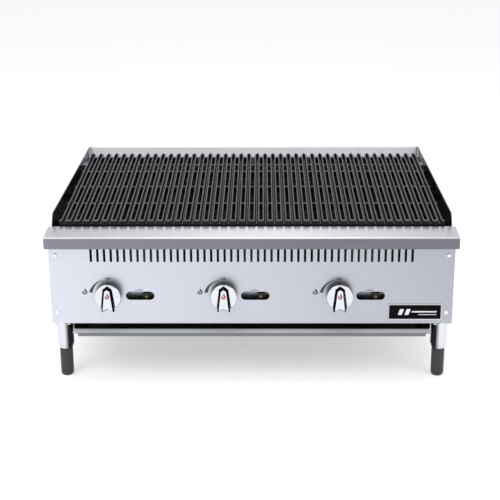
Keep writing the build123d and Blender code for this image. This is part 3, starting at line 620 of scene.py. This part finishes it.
ink_y = panel_low.y - INK / 2
off_left, off_up, off_height, off_bold = 0.001, 0.0338, 0.0062, 0.00025
flame_left, flame_up, drop_up = 0.054, 0.0055, 0.0065
heat_scale = swoosh(111, 176, inner=(34.4, 36.4), outer=(35.0, 44.4))
line_outside = [(-15.9, -24), (-10.4, 19.8), (0, 27.8), (10.6, 19.8), (16.6, -24)]
grip_root = [(14.2, -24), (9, 19), (0, 26), (-9, 19), (-14.2, -24)]
for n, (x, z) in enumerate(knob_spots, 1):
    on_panel(f"dial_{n}_swoosh", [heat_scale], x, z)
    on_panel(f"dial_{n}_flame", open_flame(15, 12, 0.42, 1.7), x - flame_left, z + flame_up)

    bpy.ops.object.select_all(action="DESELECT")
    bpy.ops.object.text_add(location=(x - off_left, ink_y, z + off_up), rotation=UPRIGHT)
    word = bpy.context.object
    word.name = f"dial_{n}_off"
    word.data.body = "OFF"
    word.data.size = off_height
    word.data.extrude = INK / 2
    word.data.offset = off_bold
    word.data.align_x = "CENTER"
    settled(word, dial_ink, "chassis")

    knob_body = f"knob_assembly_{n}"
    grip_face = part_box(f"knob_{n}")[0].y
    drop, cap = (x, grip_face, z + drop_up), (x, grip_face + grip_height - INK / 2, z)
    marked(f"knob_{n}_flame", open_flame(15, 10, 0.36, 1.9), drop, flame_red, knob_body)
    # Painted dark reflection: a black band round the root of the grip.
    marked(f"knob_{n}_root_shade", [line_outside + grip_root], cap, flute_black, knob_body)
print("dials printed:", len(knob_spots))

# %% [markdown]
# Above each pilot window the panel carries a small mark. It is kept generic: a row of
# short strokes. The plate is also left without a name. It gets a thin bright frame and
# slanted bars.

# %% Print the window marks and finish the plate
def bar(x, z, width, height, lean=0.0):
    left, right, top = x - width / 2, x + width / 2, z + height
    return [(left, z), (right, z), (right + lean, top), (left + lean, top)]


mark_right, mark_up = 0.068, 0.0072
stroke_pitch, stroke_height, stroke_widths = 3.4, 3.2, (2.0, 1.1, 2.2, 2.0, 1.7)
strokes = [bar((i - 2) * stroke_pitch, 0, w, stroke_height) for i, w in enumerate(stroke_widths)]
for n, (x, z) in enumerate(knob_spots, 1):
    on_panel(f"window_{n}_mark", strokes, x + mark_right, z + mark_up)

plate_low, plate_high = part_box("name_plate")
plate_mid = (plate_low + plate_high) / 2
width, height = (plate_high.x - plate_low.x) * 1000, (plate_high.z - plate_low.z) * 1000
trim = 0.0003
front = (plate_mid.x, plate_low.y - trim / 6, plate_mid.z)


def centred(margin):
    return bar(0, margin - height / 2, width - 2 * margin, height - 2 * margin)


def on_plate(name, outlines):
    marked(name, outlines, front, plate_trim, "chassis", thickness=trim)


on_plate("plate_frame", [centred(0.4), centred(2.0)[::-1]])
short_bars = [bar(-34, -7, 9, 14, 5), bar(-19, -7, 9, 14, 5)]
long_bars = [bar(20, -1, 56, 3.2, 1.2), bar(28, -7, 40, 1.6, 0.6)]
on_plate("plate_bars", short_bars + long_bars)
print("plate", round(width, 1), "x", round(height, 1), "mm")

# %% [markdown]
# ## The studio
# A charbroiler is mostly mirror, so what stands around it matters more than the lamps: a
# white room seen in the steel makes it read as steel. The world is white where the camera
# and the reflections look, and softer where it lights. The floor glows a little in the
# same directions, so that it stays pale and still keeps the grill's shadow.

# %% Build the floor, the room and the lamps
bpy.ops.object.select_all(action="DESELECT")
bpy.ops.mesh.primitive_plane_add(size=30, location=(0, 0, 0))
floor = bpy.context.object
floor.name = "studio_floor"


def direct_sight(graph):
    ways = ("Is Camera Ray", "Is Glossy Ray", "Is Transmission Ray")
    camera, glossy, through = [graph.node("ShaderNodeLightPath", out=way) for way in ways]
    return camera.or_larger(glossy).or_larger(through)


WHITE, PALE = (1, 1, 1, 1), (0.95, 0.95, 0.96, 1)
floor_glow = 0.5
room_lighting, room_seen = 0.45, 1.0
matt = {"Roughness": 0.9, "Specular_IOR_Level": 0.0}
paper = Finish("studio_paper", Base_Color=PALE, Emission_Color=WHITE, **matt)
paper.set(Emission_Strength=direct_sight(paper) * floor_glow)
floor.data.materials.append(paper.material)

world = bpy.data.worlds.new("studio")
bpy.context.scene.world = world
room = Graph(world, "Background", Color=WHITE)
room.set(Strength=room_lighting + (room_seen - room_lighting) * direct_sight(room))


def lamp(name, place, target, size, power):
    light = bpy.data.lights.new(name, "AREA")
    light.shape = "RECTANGLE"
    light.size, light.size_y = size
    light.energy = power
    made = bpy.data.objects.new(name, light)
    bpy.context.scene.collection.objects.link(made)
    made.location = place
    beam = Vector(target) - Vector(place)
    made.rotation_euler = beam.to_track_quat("-Z", "Y").to_euler()


lamp("key_softbox", (-1.7, -2.2, 2.4), (0, -0.1, 0.3), (1.8, 1.4), 26)
lamp("fill_softbox", (2.2, -1.8, 1.6), (0, -0.1, 0.25), (1.6, 1.2), 12)
lamp("top_softbox", (0, -0.3, 2.6), (0, 0.2, 0.35), (2.4, 1.2), 24)
print("studio ready")

# %% [markdown]
# ## The camera
# A long lens from the front, a little above, keeps the grates' rows nearly parallel. The
# camera's place is given from the middle of the ledge's front edge, and its turn as yaw
# to the right, pitch down and roll, in degrees.

# %% Set the camera
def aim(yaw, pitch, roll):
    y, p, r = radians(yaw), radians(pitch), radians(roll)
    ahead = Vector((sin(y) * cos(p), cos(y) * cos(p), -sin(p)))
    right = Vector((cos(y), -sin(y), 0))
    up = right.cross(ahead)
    return ahead, right * cos(r) + up * sin(r), up * cos(r) - right * sin(r)


sensor, lens_to_sensor = 36, 2.398
ledge_edge = Vector((0, ledge_low.y, ledge_low.z + face_height))
from_edge = Vector((0.025, -2.490, 0.828))
camera_data = bpy.data.cameras.new("camera")
camera_data.lens = lens_to_sensor * sensor
camera_data.sensor_width = sensor
camera = bpy.data.objects.new("camera", camera_data)
bpy.context.scene.collection.objects.link(camera)
ahead, right, up = aim(-0.64, 18.97, -0.22)
turned = Matrix((right, up, -ahead)).transposed().to_4x4()
camera.matrix_world = Matrix.Translation(ledge_edge + from_edge) @ turned
bpy.context.scene.camera = camera
bpy.context.scene.view_settings.view_transform = "Standard"
print("lens", round(camera_data.lens, 1), "mm")
